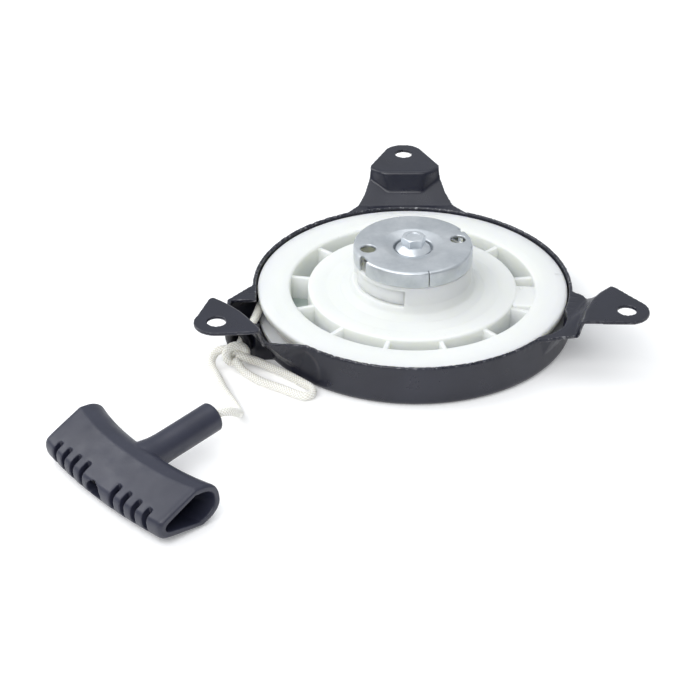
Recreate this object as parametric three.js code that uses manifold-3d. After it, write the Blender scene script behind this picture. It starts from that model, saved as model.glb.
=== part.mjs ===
// Recoil starter for a small engine, lying open side up with its pull rope and handle beside it.
// Millimetres, +Z up. The origin is on the reel's axis, at the underside of the housing's floor.
import * as THREE from 'three';
import { ConvexGeometry } from 'three/addons/geometries/ConvexGeometry.js';
import { mergeVertices } from 'three/addons/utils/BufferGeometryUtils.js';
import Module from 'manifold-3d';

const wasm = await Module();
wasm.setup();

// Driving dimensions
const GAP = 0.3;                     // air kept between neighbouring pieces
const SHEET = 1.6;                   // thickness of the housing's sheet steel
const HOUSING_R = 73.8;              // outside of the housing's wall at its rim, and at its foot
const HOUSING_FOOT_R = 74.4;
const HOUSING_TOP = 19.5;            // height of the wall's rim
const HOUSING_FILLET = 3;            // bend between floor and wall
const EAR_HOLE_R = 104;              // mounting holes, from the reel's axis
const EAR_HOLE_D = 8.3;
const EAR_TIP_R = 10;                // rounded tip of an ear, about its hole
const EAR_TOP = 33;                  // height of the ears' pads
const EAR_PAD_HALF = 17;             // half width of a pad at its bend
const EAR_BEND = 90;                 // distance of the pad's bend from the axis
const REEL_R = 71.6;                 // outside of the reel's flanges
const REEL_TOP = 18.5;
const REEL_WINDOW_R = 56.5;          // inside of the reel's ring
const DISC_R = 48.3;                 // outside of the reel's middle disc
const TOWER_R = 27.2;                // hub tower that carries the pawls
const TOWER_TOP = 30.8;
const POST_R = 7;                    // centre post
const POST_TOP = 32;
const GUIDE_R = 27.3;                // ratchet guide
const GUIDE_TOP = 39.6;
const GUIDE_SKIRT = 8.5;             // height of the guide's skirt
const GUIDE_SHEET = 1.2;
const BOLT_FLATS = 10;               // across the bolt's hexagon
const ROPE_D = 4;
const ROPE_Z = 10;                   // height of the rope inside the housing
const HANDLE_LENGTH = 79;
const HANDLE_WALL = 3;
const STEM_R = 6.5;

// Directions of the three ears and of the reel's ribs about the axis, in degrees
const EARS = [
  { azimuth: 91.2, reach: 0, left: 'wide', right: 'wide' },
  { azimuth: 213.5, reach: 2, steep: true },
  { azimuth: 333.2, reach: 0, left: 'broad', right: 'narrow' },
];
const RIBS = [10, 43, 140, 170, 200, 228, 256, 284, 311, 338];
const ANCHOR_BLOCK = [340, 368];     // raised block that holds the rope's inner knot
const PAWLS = { front: 0, back: 180 };

const rad = THREE.MathUtils.degToRad;
const polar = (r, degrees, z = 0) =>
  new THREE.Vector3(r * Math.cos(rad(degrees)), r * Math.sin(rad(degrees)), z);

// Solids
function solid(geometry) {
  const bare = geometry.index ? geometry.toNonIndexed() : geometry.clone();
  for (const name of Object.keys(bare.attributes)) {
    if (name !== 'position') bare.deleteAttribute(name);
  }
  const merged = mergeVertices(bare, 1e-4);
  const corners = merged.index.array;
  const faces = [];
  for (let i = 0; i < corners.length; i += 3) {
    const [a, b, c] = [corners[i], corners[i + 1], corners[i + 2]];
    if (a !== b && b !== c && c !== a) faces.push(a, b, c);
  }
  return new wasm.Manifold(new wasm.Mesh({
    numProp: 3,
    vertProperties: new Float32Array(merged.attributes.position.array),
    triVerts: new Uint32Array(faces),
  }));
}

function geometryOf(body) {
  const mesh = body.getMesh();
  const points = new Float32Array(mesh.numVert * 3);
  for (let i = 0; i < mesh.numVert; i += 1) {
    for (let k = 0; k < 3; k += 1) points[3 * i + k] = mesh.vertProperties[mesh.numProp * i + k];
  }
  const geometry = new THREE.BufferGeometry();
  geometry.setAttribute('position', new THREE.BufferAttribute(points, 3));
  geometry.setIndex([...mesh.triVerts]);
  return geometry;
}

function turned(profile, segments) {
  const lathe = new THREE.LatheGeometry(profile.map(([r, z]) => new THREE.Vector2(r, z)), segments);
  return solid(lathe.rotateX(Math.PI / 2));
}

function ring(inner, outer, low, high, segments = 48) {
  return turned([[inner, low], [outer, low], [outer, high], [inner, high], [inner, low]], segments);
}

function disc(radius, low, high, segments = 32) {
  return turned([[0, low], [radius, low], [radius, high], [0, high]], segments);
}

function extruded(points, low, high) {
  const shape = new THREE.Shape(points.map(([x, y]) => new THREE.Vector2(x, y)));
  const body = new THREE.ExtrudeGeometry(shape, { depth: high - low, bevelEnabled: false });
  return solid(body.translate(0, 0, low));
}

function block(x, y, z) {
  const size = [x[1] - x[0], y[1] - y[0], z[1] - z[0]];
  const box = new THREE.BoxGeometry(...size);
  return solid(box.translate((x[0] + x[1]) / 2, (y[0] + y[1]) / 2, (z[0] + z[1]) / 2));
}

function wedge(points) {
  return solid(new ConvexGeometry(points));
}

function tube(points, radius, steps, sides = 8) {
  const path = new THREE.CatmullRomCurve3(points.map((p) => new THREE.Vector3(...p)), false, 'centripetal');
  const section = new THREE.Shape();
  for (let i = 0; i < sides; i += 1) {
    const corner = polar(radius, (360 * (i + 0.5)) / sides);
    if (i === 0) section.moveTo(corner.x, corner.y);
    else section.lineTo(corner.x, corner.y);
  }
  return new THREE.ExtrudeGeometry(section, { steps, extrudePath: path, bevelEnabled: false });
}

// A bar that points outward along the given direction about the axis
const towards = (body, degrees) => body.rotate([0, 0, degrees]);

// Materials
const finish = (color, roughness, metalness) =>
  new THREE.MeshStandardMaterial({ color, roughness, metalness });
const BLACK_PAINT = () => finish(0x2f3138, 0.38, 0.2);
const WHITE_NYLON = () => finish(0xeef1ee, 0.45, 0);
const ZINC = () => finish(0xa9b1b7, 0.35, 0.9);
const STEEL = () => finish(0x9a9c9e, 0.3, 1);
const GALVANISED = () => finish(0x94a59e, 0.5, 0.7);
const HANDLE_PLASTIC = () => finish(0x4b4e5a, 0.55, 0);
const ROPE = () => finish(0xf0ede0, 0.8, 0);

const starter = new THREE.Group();
function add(name, geometry, material, parent = starter) {
  const mesh = new THREE.Mesh(geometry, material);
  mesh.name = name;
  parent.add(mesh);
  return mesh;
}

// Housing: a stamped dish with three ears and a pocket that the rope leaves through
const BROADS = {
  wide: [[62, 33], [67, 29.2], [75, 23], [80.5, 19.9], [86, 18]],
  broad: [[62, 30], [69, 26.3], [75, 24.6], [80.5, 20], [86, 17.8]],
  narrow: [[62, 25], [69, 21.5], [75, 17.6], [79, 13.8], [84.8, 10], [87.4, 12.4]],
};
const DART = [[62, 19.5], [74, 19.5], [80, 23], [84.5, 33], [118, 33]];
const SHOULDER = [[62, 19.5], [74, 19.5], [86, 28], [89.5, 33], [118, 33]];
const DART_HALF = 7.5;               // half width of the dart pressed into an ear's neck
const SHOULDER_HALF = 11;            // where the neck's shoulders have their full height

function along(profile, r) {
  for (let i = 1; i < profile.length; i += 1) {
    const [r0, z0] = profile[i - 1];
    const [r1, z1] = profile[i];
    if (r <= r1) return z0 + ((z1 - z0) * (r - r0)) / (r1 - r0);
  }
  return profile.at(-1)[1];
}

// Round end of a pad, from the tangent at one corner to the other, with r away from the axis and t across
function padTip(bend) {
  const lean = Math.hypot(EAR_HOLE_R - bend, EAR_PAD_HALF);
  const turn = Math.atan2(EAR_HOLE_R - bend, EAR_PAD_HALF) + Math.asin(EAR_TIP_R / lean);
  return Array.from({ length: 11 }, (_, i) => {
    const angle = turn - (2 * turn * i) / 10;
    return [EAR_HOLE_R + EAR_TIP_R * Math.cos(angle), EAR_TIP_R * Math.sin(angle)];
  });
}

// Outline of one ear: its neck, its pad's corners and its tip
function earOutline({ reach, left, right }) {
  const bend = EAR_BEND + reach;
  const chamfer = 2.4;
  const side = (profile) => [...profile,
    [bend - 1, EAR_PAD_HALF], [bend + chamfer, EAR_PAD_HALF - 0.3]];
  const tip = padTip(bend);
  const mirrored = side(BROADS[right]).map(([r, t]) => [r, -t]);
  return [...side(BROADS[left]), ...tip, ...mirrored.reverse()].reverse();
}

// The neck and pad are one sheet whose height depends on the place along and across the ear
function earSheet(reach) {
  const distances = [62, 74, 80, 84.5, 86, 89.5, 118];
  const offsets = [-36, -SHOULDER_HALF, -DART_HALF, DART_HALF, SHOULDER_HALF, 36];
  const points = [];
  const height = (r, t) => along(Math.abs(t) < SHOULDER_HALF - 1 ? DART : SHOULDER, r);
  const drop = (r, t) => {
    const slope = (height(r + 0.5, t) - height(r - 0.5, t));
    return SHEET * Math.min(2.2, Math.hypot(1, slope));
  };
  for (const under of [false, true]) {
    for (const r of distances) {
      for (const t of offsets) points.push([r + reach, t, height(r, t) - (under ? drop(r, t) : 0)]);
    }
  }
  const wide = offsets.length;
  const half = distances.length * wide;
  const faces = [];
  const quad = (a, b, c, d) => faces.push(a, b, c, a, c, d);
  for (let i = 0; i + 1 < distances.length; i += 1) {
    for (let j = 0; j + 1 < wide; j += 1) {
      const a = i * wide + j;
      quad(a, a + wide, a + wide + 1, a + 1);
      quad(half + a, half + a + 1, half + a + wide + 1, half + a + wide);
    }
    const [near, far] = [i * wide, i * wide + wide - 1];
    quad(near, half + near, half + near + wide, near + wide);
    quad(far, far + wide, half + far + wide, half + far);
  }
  for (let j = 0; j + 1 < wide; j += 1) {
    const last = half - wide + j;
    quad(j, j + 1, half + j + 1, half + j);
    quad(last, half + last, half + last + 1, last + 1);
  }
  const geometry = new THREE.BufferGeometry();
  geometry.setAttribute('position', new THREE.Float32BufferAttribute(points.flat(), 3));
  geometry.setIndex(faces);
  return solid(geometry);
}

// The left ear's neck is a steep strip from the top of the wall to the pad
const STEEP_FOOT = [[86.2, -21.6], [83.2, -14.6], [80.3, -7.4], [82.9, 1.5], [84.7, 9.3]];
const STEEP_HEAD = [[94.6, -17.9], [93, -12.6], [91.7, -5], [91.1, 3], [91.2, 15.4]];
const STEEP_HALF = 0.9;              // half the strip's thickness, along r
const STEEP_LOW = 18.2;              // the strip's foot is inside the top of the wall
function steepEar({ reach }) {
  const across = ([r, t], z) => [-STEEP_HALF, STEEP_HALF].map((shift) => new THREE.Vector3(r + shift, t, z));
  const station = (i) => [...across(STEEP_FOOT[i], STEEP_LOW), ...across(STEEP_HEAD[i], EAR_TOP),
    new THREE.Vector3(STEEP_HEAD[i][0] + STEEP_HALF, STEEP_HEAD[i][1], EAR_TOP - SHEET)];
  const corners = [[94.4, 16.4], ...padTip(EAR_BEND + reach), [97, -18.3]];
  let body = extruded([...STEEP_HEAD, ...corners], EAR_TOP - SHEET, EAR_TOP);
  for (let i = 0; i + 1 < STEEP_FOOT.length; i += 1) {
    body = body.add(wedge([...station(i), ...station(i + 1)]));
  }
  return body;
}

const POCKET = [[-60, -3], [-73.6, -3], [-84.6, -16.6], [-84.6, -30], [-71, -39], [-58, -37.5]];
const POCKET_INSIDE = [[-55, -4.6], [-72.4, -4.6], [-83, -17.2], [-83, -29.1], [-70.6, -37.3], [-57, -35.7]];
const SHELF = [[-72, -3], [-73.6, -3], [-84.6, -16.6], [-84.6, -17.2], [-71.4, -16.4]];

// Skirt under the left ear, which leans out from the wall's foot to the rim
function skirt(inset, low, high) {
  const arc = [206, 211, 217, 223, 229].map((a) => polar(HOUSING_R - 0.6 - inset, a, low));
  const rim = [polar(80.9 - inset, 208.7, high), polar(84 - inset, 213.5, high), polar(85.2 - inset, 219.7, high),
    polar(HOUSING_R + 0.6 - inset, 228.8, high), polar(60, 209, high), polar(60, 209, low)];
  return wedge([...arc, ...rim]);
}

const OUTLET = { centre: [-77.8, -34.5, ROPE_Z], azimuth: 236.5 };  // middle of the pocket's front wall
const OUTLET_BORE = 4.8;
const outletAxis = polar(1, OUTLET.azimuth);

// A turned piece on the outlet's axis, whose profile runs along the rope
function atOutlet(profile, segments) {
  const lathe = new THREE.LatheGeometry(profile.map(([r, y]) => new THREE.Vector2(r, y)), segments);
  lathe.applyQuaternion(new THREE.Quaternion().setFromUnitVectors(new THREE.Vector3(0, 1, 0), outletAxis));
  return lathe.translate(...OUTLET.centre);
}

function makeHousing() {
  const fillet = (inset) => [0, 30, 60, 90].map((a) => [
    HOUSING_FOOT_R - HOUSING_FILLET + (HOUSING_FILLET - inset) * Math.sin(rad(a)),
    HOUSING_FILLET - (HOUSING_FILLET - inset) * Math.cos(rad(a)),
  ]);
  const outside = turned([[0, 0], ...fillet(0), [HOUSING_R, HOUSING_TOP], [0, HOUSING_TOP]], 56);
  const inside = turned([[0, SHEET], ...fillet(SHEET), [HOUSING_R - SHEET, HOUSING_TOP],
    [HOUSING_R - SHEET, 25], [0, 25]], 56);
  let body = outside.add(extruded(POCKET, 0.6, HOUSING_TOP)).add(skirt(0, 3.5, HOUSING_TOP));
  const keepOut = disc(HOUSING_R - 0.8, -1, 60, 56);
  for (const ear of EARS) {
    const sheet = ear.steep ? steepEar(ear) : earSheet(ear.reach).intersect(extruded(earOutline(ear), 0, 60));
    const bored = sheet.subtract(disc(EAR_HOLE_D / 2, 0, 60, 24).translate([EAR_HOLE_R, 0, 0]));
    body = body.add(towards(bored, ear.azimuth).subtract(keepOut));
  }
  body = body.subtract(inside).subtract(skirt(1.9, 3.7, HOUSING_TOP + 0.01));
  body = body.subtract(extruded(POCKET_INSIDE, 2.2, 25));
  body = body.add(extruded(SHELF, HOUSING_TOP - SHEET, HOUSING_TOP).subtract(disc(HOUSING_R - 0.8, 0, 40, 56)));
  const bore = solid(atOutlet([[0, -6], [OUTLET_BORE, -6], [OUTLET_BORE, 6], [0, 6]], 24));
  return body.subtract(bore);
}
add('housing', geometryOf(makeHousing()), BLACK_PAINT());

// Bush in the outlet: a tube through the wall with a rounded flange on the outside
const outletBush = [[3, -3.2], [4.4, -3.2], [4.4, 1.3], [6.9, 1.3], [7.2, 2], [6.4, 3], [4, 3.2], [3, 2.4], [3, -3.2]];
add('outlet_bush', geometryOf(solid(atOutlet(outletBush, 24))), finish(0x22242a, 0.5, 0));

// Plate on the floor of the housing, and the post that the reel turns on
const PLATE_TOP = 2.9;
const POST_FOOT_R = 13;
add('spring_plate', geometryOf(ring(POST_FOOT_R + GAP, 70.6, SHEET + GAP, PLATE_TOP, 48)), GALVANISED());
const BOLT_SHANK_R = 3;
const post = turned([
  [0, SHEET + GAP], [POST_FOOT_R, SHEET + GAP], [POST_FOOT_R, 3.2], [POST_R, 3.2], [POST_R, POST_TOP],
  [BOLT_SHANK_R + GAP, POST_TOP], [BOLT_SHANK_R + GAP, 12], [0, 10.5],
], 32);
add('center_post', geometryOf(post), STEEL());

// Recoil spring: a flat strip wound on edge under the reel's disc
function makeSpring() {
  const turns = 4;
  const [start, end] = [12, 40];
  const half = 0.6;
  const steps = turns * 16;
  const edge = (offset) => Array.from({ length: steps + 1 }, (_, i) => {
    const p = polar(start + ((end - start) * i) / steps + offset, (360 * turns * i) / steps);
    return [p.x, p.y];
  });
  return extruded([...edge(half), ...edge(-half).reverse()], 3.6, 11.4);
}
add('recoil_spring', geometryOf(makeSpring()), STEEL());
const hook = block([7.3, 11.2], [-1.6, 1.6], [3.6, 11.4]);
add('spring_inner_hook', geometryOf(hook), STEEL());

// Reel: rope groove, windowed web, dished disc and hub tower in one nylon moulding
const RIB_HALF = 1.1;
function makeReel() {
  const rim = turned([
    [REEL_WINDOW_R, 3.8], [REEL_R - 0.4, 3.8], [REEL_R - 0.4, 5.8], [62.4, 6.4], [62.4, 13.8],
    [REEL_R - 0.6, 14.6], [REEL_R, 16], [REEL_R - 1, 18], [67, REEL_TOP + 0.1], [61, REEL_TOP],
    [REEL_WINDOW_R + 0.8, 18], [REEL_WINDOW_R, 17.2], [REEL_WINDOW_R, 3.8],
  ], 52);
  const web = turned([
    [POST_R + GAP, 12], [45.8, 12], [45.8, 3.8], [DISC_R, 3.8], [DISC_R, 17], [DISC_R - 1, 18],
    [40, 17.2], [33, 17.6], [29, 19.2], [TOWER_R, 22.5], [TOWER_R, TOWER_TOP], [24.2, TOWER_TOP],
    [24.2, 20.4], [11.5, 20.4], [11.5, 31], [POST_R + GAP, 31], [POST_R + GAP, 12],
  ], 40);
  let body = web.add(rim);
  for (const azimuth of RIBS) {
    const rib = block([DISC_R - 1, REEL_WINDOW_R + 1], [-RIB_HALF, RIB_HALF], [5, 16.6]);
    body = body.add(towards(rib, azimuth));
  }
  const middle = (ANCHOR_BLOCK[0] + ANCHOR_BLOCK[1]) / 2;
  const anchor = block([DISC_R - 1.5, REEL_WINDOW_R + 1], [-12, 6], [5, 17.4]);
  const socket = block([DISC_R + 0.6, REEL_WINDOW_R + 12], [-4, 4], [6.8, 13.4]);
  body = body.add(towards(anchor, middle)).subtract(towards(socket, middle));
  // Each pawl swings out through a slot in the tower's wall
  const slot = extruded([[0, 14], [40, 14], [40, 32], [-14, 32], [-14, 14]], 22, 30).rotate([0, 0, 20]);
  for (const azimuth of Object.values(PAWLS)) {
    const reach = slot.intersect(ring(23, TOWER_R + 6, 19, 40));
    body = body.subtract(towards(reach, azimuth + 120));
  }
  return body;
}
add('reel', geometryOf(makeReel()), WHITE_NYLON());

// Pawls: each turns on a steel pin inside the tower and is held in by a light spring
const PAWL_PIN = { radius: 18, from: 172 };   // distance and direction of the front pawl's pin
const PAWL_LOW = 22.3;
const PAWL_HIGH = 29.2;
function makePawl() {
  const outline = [[-3.4, 1], [-2.6, -2.8], [1, -4.2], [4.6, -2.6], [5, 2.4], [3.6, 8], [1.4, 13.6],
    [-1.4, 16.2], [-3.4, 15.4], [-2.2, 10.4], [-2.2, 5.6]];
  const body = extruded(outline, PAWL_LOW, PAWL_HIGH);
  const peg = disc(1.5, PAWL_HIGH - 1, 35.6, 16).translate([-0.4, 5.6, 0]);
  return body.add(peg).subtract(disc(2.4, 0, 60, 20));
}
for (const [name, turn] of Object.entries(PAWLS)) {
  const side = new THREE.Group();
  side.rotation.z = rad(PAWL_PIN.from + turn);
  starter.add(side);
  const seat = new THREE.Group();
  seat.position.x = PAWL_PIN.radius;
  side.add(seat);
  add(`pawl_${name}`, geometryOf(makePawl()), finish(0xe4e8e2, 0.4, 0), seat);
  add(`pawl_pin_${name}`, geometryOf(disc(2.1, 20.7, 30.2, 20)), STEEL(), seat);
  const spring = ring(2.6, 3.6, 20.8, 21.8, 20);
  add(`pawl_spring_${name}`, geometryOf(spring), STEEL(), seat);
}

// Ratchet guide: a pressed cup over the tower, dished round its bolt
const GUIDE_DISH_R = 13.5;
const GUIDE_SEAT_R = 9;
const GUIDE_LIP = 38.1;               // edge of the well that the bolt sits in
const GUIDE_SEAT = 35;
const GUIDE_BORE_R = 5.4;
const GUIDE_HOLES = [12.5, 192.5];
const GUIDE_NOTCHES = [[206, 217.5], [27, 35]];
function makeGuide() {
  const under = GUIDE_TOP - GUIDE_SHEET;
  let body = turned([
    [GUIDE_BORE_R, GUIDE_SEAT], [GUIDE_BORE_R, GUIDE_SEAT - GUIDE_SHEET],
    [GUIDE_SEAT_R + GUIDE_SHEET, GUIDE_SEAT - GUIDE_SHEET], [GUIDE_SEAT_R + GUIDE_SHEET, GUIDE_LIP - GUIDE_SHEET],
    [GUIDE_DISH_R + 0.6, under], [GUIDE_R - GUIDE_SHEET, under],
    [GUIDE_R - GUIDE_SHEET, GUIDE_TOP - GUIDE_SKIRT], [GUIDE_R, GUIDE_TOP - GUIDE_SKIRT],
    [GUIDE_R, GUIDE_TOP - 1], [GUIDE_R - 0.8, GUIDE_TOP], [GUIDE_DISH_R, GUIDE_TOP],
    [GUIDE_SEAT_R, GUIDE_LIP], [GUIDE_SEAT_R, GUIDE_SEAT], [GUIDE_BORE_R, GUIDE_SEAT],
  ], 48);
  for (const azimuth of GUIDE_HOLES) {
    body = body.subtract(towards(disc(3.5, 30, 50, 20).translate([21.1, 0, 0]), azimuth));
  }
  for (const [from, to] of GUIDE_NOTCHES) {
    const half = (GUIDE_R * rad(to - from)) / 2;
    body = body.subtract(towards(block([25.2, 30], [-half, half], [30, 50]), (from + to) / 2));
  }
  for (const azimuth of [104, 284]) {
    body = body.subtract(towards(block([25, 30], [-0.5, 0.5], [30, GUIDE_TOP - 1.6]), azimuth));
  }
  return body;
}
add('ratchet_guide', geometryOf(makeGuide()), ZINC());

// Stack between the post and the guide: washer, collar in the guide's bore, and friction spring
const WASHER_TOP = 33.5;
const WASHER_R = 11;
add('thrust_washer', geometryOf(ring(BOLT_SHANK_R + GAP, WASHER_R, POST_TOP + GAP, WASHER_TOP, 32)), ZINC());
const collar = ring(BOLT_SHANK_R + GAP, GUIDE_BORE_R - GAP, WASHER_TOP + GAP, GUIDE_SEAT, 24);
add('guide_collar', geometryOf(collar), STEEL());
function makeFrictionSpring() {
  const turns = 1.6;
  const steps = 30;
  const points = Array.from({ length: steps + 1 }, (_, i) => {
    const p = polar(12.4, (360 * turns * i) / steps, 34 + (1.6 * i) / steps);
    return [p.x, p.y, p.z];
  });
  return tube(points, 0.45, steps, 6);
}
add('friction_spring', makeFrictionSpring(), STEEL());

// Flange bolt down into the post
const BOLT_SEAT = GUIDE_SEAT + GAP;
const BOLT_TOP = 43.7;
const BOLT_FLANGE_R = 8;
function makeBolt() {
  const hexagon = Array.from({ length: 6 }, (_, i) => {
    const p = polar(BOLT_FLATS / Math.sqrt(3), 60 * i + 10);
    return [p.x, p.y];
  });
  const head = extruded(hexagon, BOLT_SEAT + 0.8, BOLT_TOP);
  const crown = turned([[0, BOLT_SEAT], [8, BOLT_SEAT], [8, BOLT_TOP - 1.4], [4.7, BOLT_TOP], [0, BOLT_TOP]], 24);
  const flange = turned([
    [0, 14], [BOLT_SHANK_R, 14], [BOLT_SHANK_R, BOLT_SEAT], [BOLT_FLANGE_R, BOLT_SEAT],
    [BOLT_FLANGE_R, BOLT_SEAT + 0.9], [5, BOLT_SEAT + 1.9], [0, BOLT_SEAT + 1.9],
  ], 24);
  return head.intersect(crown).add(flange);
}
add('center_bolt', geometryOf(makeBolt()), ZINC());

// Rope: turns on the reel, the run to the outlet, and what lies outside
const WINDING_IN = 63.2;
const WINDING_OUT = 68.6;
const winding = turned([
  [WINDING_IN, 7.1], [67.6, 7.1], [WINDING_OUT, 8.4], [68, 10.1], [WINDING_OUT, 11.8], [67.6, 13.1],
  [WINDING_IN, 13.1], [WINDING_IN, 7.1],
], 48);
add('rope_winding', geometryOf(winding), ROPE());
const anchorAzimuth = (ANCHOR_BLOCK[0] + ANCHOR_BLOCK[1]) / 2;
const knotBall = new THREE.SphereGeometry(2.8, 12, 8).translate(...polar(52.9, anchorAzimuth, 10.1));
add('rope_anchor_knot', knotBall, ROPE());

const RUN = [[-70.4, -7.3, ROPE_Z], [-71.5, -14, ROPE_Z], [-72.9, -20.5, ROPE_Z], [-74.7, -27.2, ROPE_Z],
  [-77, -33.2, ROPE_Z], [-79.1, -36.8, 9.9]];
const KNOT = [-79.9, -43.4, 8.4];
const KNOT_SIZE = [5.6, 3.9, 4.6];
const LOOP = [
  [-73, -45, 5.3], [-71.2, -44.8, 4.6], [-68.9, -45.2, 3.8], [-66.7, -45.9, 3.1], [-62.1, -48.3, 2.4],
  [-57.6, -51.6, 2.15], [-53.2, -55.6, 2.15], [-49.6, -59, 2.15], [-46.7, -61.9, 2.15], [-45, -65, 2.15],
  [-45.7, -68.2, 2.15], [-48.7, -69.6, 2.15], [-52.4, -67.8, 2.15], [-57.2, -64.6, 2.15], [-61.7, -61.9, 2.15],
  [-66.2, -59.2, 2.15], [-69.8, -56.3, 2.15], [-73.4, -53.1, 2.3], [-76.4, -50.3, 2.9],
];
const TAIL = [
  [-89.4, -41.4, 6], [-90.5, -42.6, 4.6], [-90.7, -44.8, 3.2], [-90, -47.6, 2.3], [-88.7, -51, 2.15],
  [-87.6, -54, 2.15], [-86.2, -58, 2.15], [-84.7, -62.5, 2.15], [-82.3, -68.6, 2.15], [-79.9, -73.9, 2.15],
  [-77.8, -79.2, 2.5], [-76.4, -84.4, 3.8], [-76, -89.1, 6.3], [-76.5, -93.4, 9.4], [-77.9, -97.2, 12.4],
  [-80, -100.7, 15], [-82.6, -103.3, 16.35], [-85.49, -105.49, 16.21], [-88.4, -108.1, 15.66],
];
const ROPE_R = ROPE_D / 2;
add('rope_run', tube(RUN, ROPE_R, 8), ROPE());
const slipKnot = new THREE.SphereGeometry(1, 16, 10).rotateX(Math.PI / 2).scale(...KNOT_SIZE);
add('slip_knot', slipKnot.rotateZ(rad(15)).translate(...KNOT), ROPE());
add('rope_loop', tube(LOOP, ROPE_R, 26), ROPE());
add('rope_tail', tube(TAIL, ROPE_R, 26), ROPE());

// Handle: a hollow grip open at both ends, slots along its thin edge, and a stem for the rope.
// It is made with the grip along X and the stem along +Y, then laid down on its lower face.
const GRIP_TIP = -18.3;              // thin edge of the grip, and the stem's side of it
const GRIP_BACK = 10.8;
const GRIP_FLARE = 5;                // how far the ends reach toward the stem
const TIP_HALF = 4.8;                // half thickness at the thin edge, and at the thick one
const BACK_HALF = 10;
const STEM_END = 45;
const STEM_AT = -1.2;                // the stem stands a little off the grip's middle
const SLOT_PITCH = 6.6;
const SLOT_WIDTH = 2.6;

// Outline of the grip across its length: flat faces that open toward a rounded back
function gripSection(x, inset) {
  const share = Math.abs(x) / (HANDLE_LENGTH / 2);
  const tip = GRIP_TIP + 3 * share ** 2 + inset;
  const back = GRIP_BACK + GRIP_FLARE * share ** 2.4 - inset;
  const ridge = back - 10.5 + inset * 0.6;
  const [thin, thick] = [TIP_HALF - inset * 0.9, BACK_HALF - inset];
  const upper = [[tip, thin * 0.35], [tip + 0.8, thin * 0.8], [tip + 2.4, thin + 0.3], [ridge, thick],
    [ridge + (back - ridge) * 0.45, thick * 0.95], [ridge + (back - ridge) * 0.8, thick * 0.68],
    [back, thick * 0.28]];
  return [...upper, ...upper.map(([y, z]) => [y, -z]).reverse()];
}

function gripLoft(inset, reach) {
  const stations = 8;
  const rings = Array.from({ length: stations + 1 }, (_, i) => {
    const x = reach * ((2 * i) / stations - 1);
    return gripSection(x, inset).map(([y, z]) => [x, y, z]);
  });
  const count = rings[0].length;
  const faces = [];
  for (let i = 0; i < stations; i += 1) {
    for (let j = 0; j < count; j += 1) {
      const [a, b] = [i * count + j, i * count + ((j + 1) % count)];
      faces.push(a, a + count, b + count, a, b + count, b);
    }
  }
  for (let j = 1; j + 1 < count; j += 1) {
    faces.push(0, j, j + 1);
    faces.push(stations * count, stations * count + j + 1, stations * count + j);
  }
  const geometry = new THREE.BufferGeometry();
  geometry.setAttribute('position', new THREE.Float32BufferAttribute(rings.flat(2), 3));
  geometry.setIndex(faces);
  return solid(geometry);
}

// A turned solid along +Y
const alongY = (profile, segments) =>
  solid(new THREE.LatheGeometry(profile.map(([r, y]) => new THREE.Vector2(r, y)), segments));

function makeHandle() {
  let body = gripLoft(0, HANDLE_LENGTH / 2);
  body = body.add(alongY([[0, 0], [STEM_R + 3, 0], [STEM_R + 2.6, GRIP_BACK - 0.6], [STEM_R + 0.6, GRIP_BACK + 1.6],
    [STEM_R, GRIP_BACK + 4], [STEM_R, STEM_END - 0.8], [STEM_R - 0.8, STEM_END], [0, STEM_END]], 24)
    .translate([STEM_AT, 0, 0]));
  body = body.subtract(gripLoft(HANDLE_WALL, HANDLE_LENGTH / 2 + 1));
  const bore = alongY([[0, 0], [ROPE_R + 0.6, 0], [ROPE_R + 0.6, STEM_END + 1], [0, STEM_END + 1]], 16);
  body = body.subtract(bore.translate([STEM_AT, 0, 0]));
  for (let i = 0; i < 4; i += 1) {
    const place = 10.5 + SLOT_PITCH * i;
    for (const x of [-place, place]) {
      body = body.subtract(block([x - SLOT_WIDTH / 2, x + SLOT_WIDTH / 2], [-22, -11.6], [-3.6, 3.6]));
    }
  }
  const arch = new THREE.Shape();
  arch.absarc(0, 0, 4.7, 0, Math.PI, false);
  arch.lineTo(-4.7, -3.2);
  arch.lineTo(4.7, -3.2);
  const window = new THREE.ExtrudeGeometry(arch, { depth: 12, bevelEnabled: false, curveSegments: 10 });
  return body.subtract(solid(window.rotateX(Math.PI / 2).translate(-1.5, -10, -0.4)));
}

const HANDLE_AT = [-117.8, -136.2, 9.95];
const HANDLE_YAW = -48;              // direction of the grip about +Z
const HANDLE_TILT = 8;               // rise of the stem, with the lower face down
const handle = new THREE.Group();
handle.rotation.order = 'ZXY';
handle.rotation.set(rad(HANDLE_TILT), 0, rad(HANDLE_YAW));
handle.position.set(...HANDLE_AT);
starter.add(handle);
add('handle', geometryOf(makeHandle()), HANDLE_PLASTIC(), handle);
const washerBack = GRIP_BACK - HANDLE_WALL - 2.2;   // where the cavity is wide enough for the washer
const washer = alongY([[ROPE_R + 0.4, washerBack - 1], [4.6, washerBack - 1], [4.6, washerBack],
  [ROPE_R + 0.4, washerBack], [ROPE_R + 0.4, washerBack - 1]], 20);
add('handle_washer', geometryOf(washer.translate([STEM_AT, 0, 0])), ZINC(), handle);
const endKnot = new THREE.SphereGeometry(3.9, 12, 8).translate(STEM_AT, washerBack - 5.4, 0);
add('handle_knot', endKnot, ROPE(), handle);

export default starter;
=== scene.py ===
"""Recoil starter of a small engine, lying open side up with its rope and handle beside it.

Shapes are written in millimetres in the frame's own axes, and made in metres.
"""

import math

import bmesh
import bpy
from mathutils import Matrix, Vector, noise


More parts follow.
